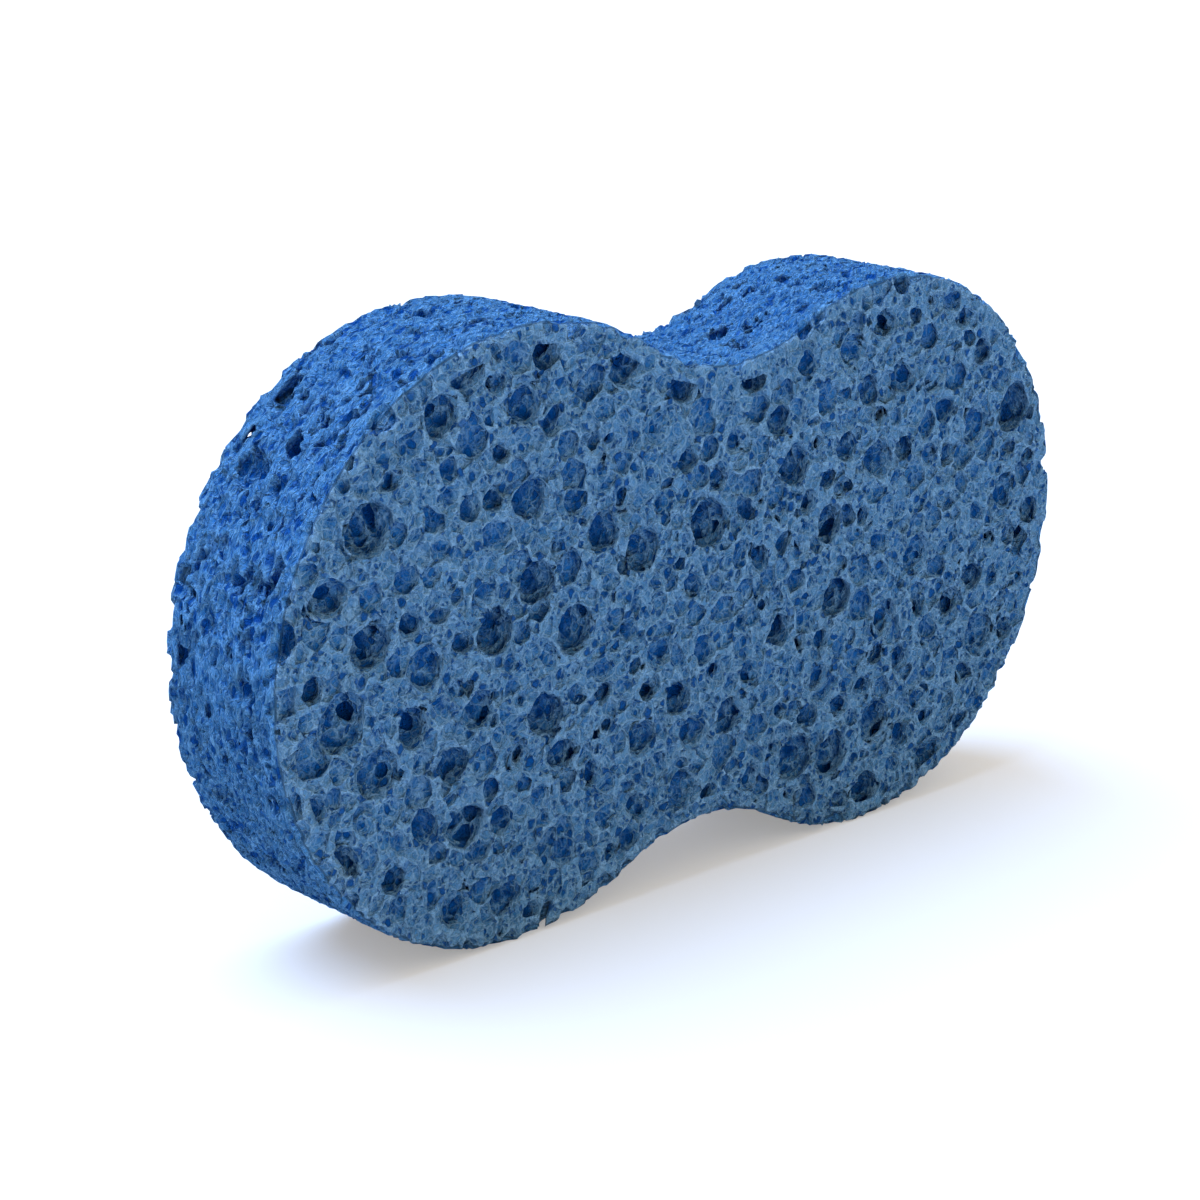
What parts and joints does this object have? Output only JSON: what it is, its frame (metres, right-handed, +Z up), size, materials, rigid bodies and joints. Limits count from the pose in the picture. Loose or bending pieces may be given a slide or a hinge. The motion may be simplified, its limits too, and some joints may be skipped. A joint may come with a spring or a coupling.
{
  "type": "polish applicator sponge",
  "caption": "Figure-eight block of blue open-cell foam that spreads polish, held at its narrow waist.",
  "frame": {"origin": "on the bench under the middle of the sponge, which stands on its long edge", "axes": "+X along the length, +Y through the thickness towards the back face, +Z up"},
  "size_m": [0.152, 0.022, 0.082],
  "materials": {
    "foam": "matte dry open-cell cellulose foam, dyed blue"
  },
  "bodies": {
    "root": {"sponge": "foam"}
  },
  "joints": []
}
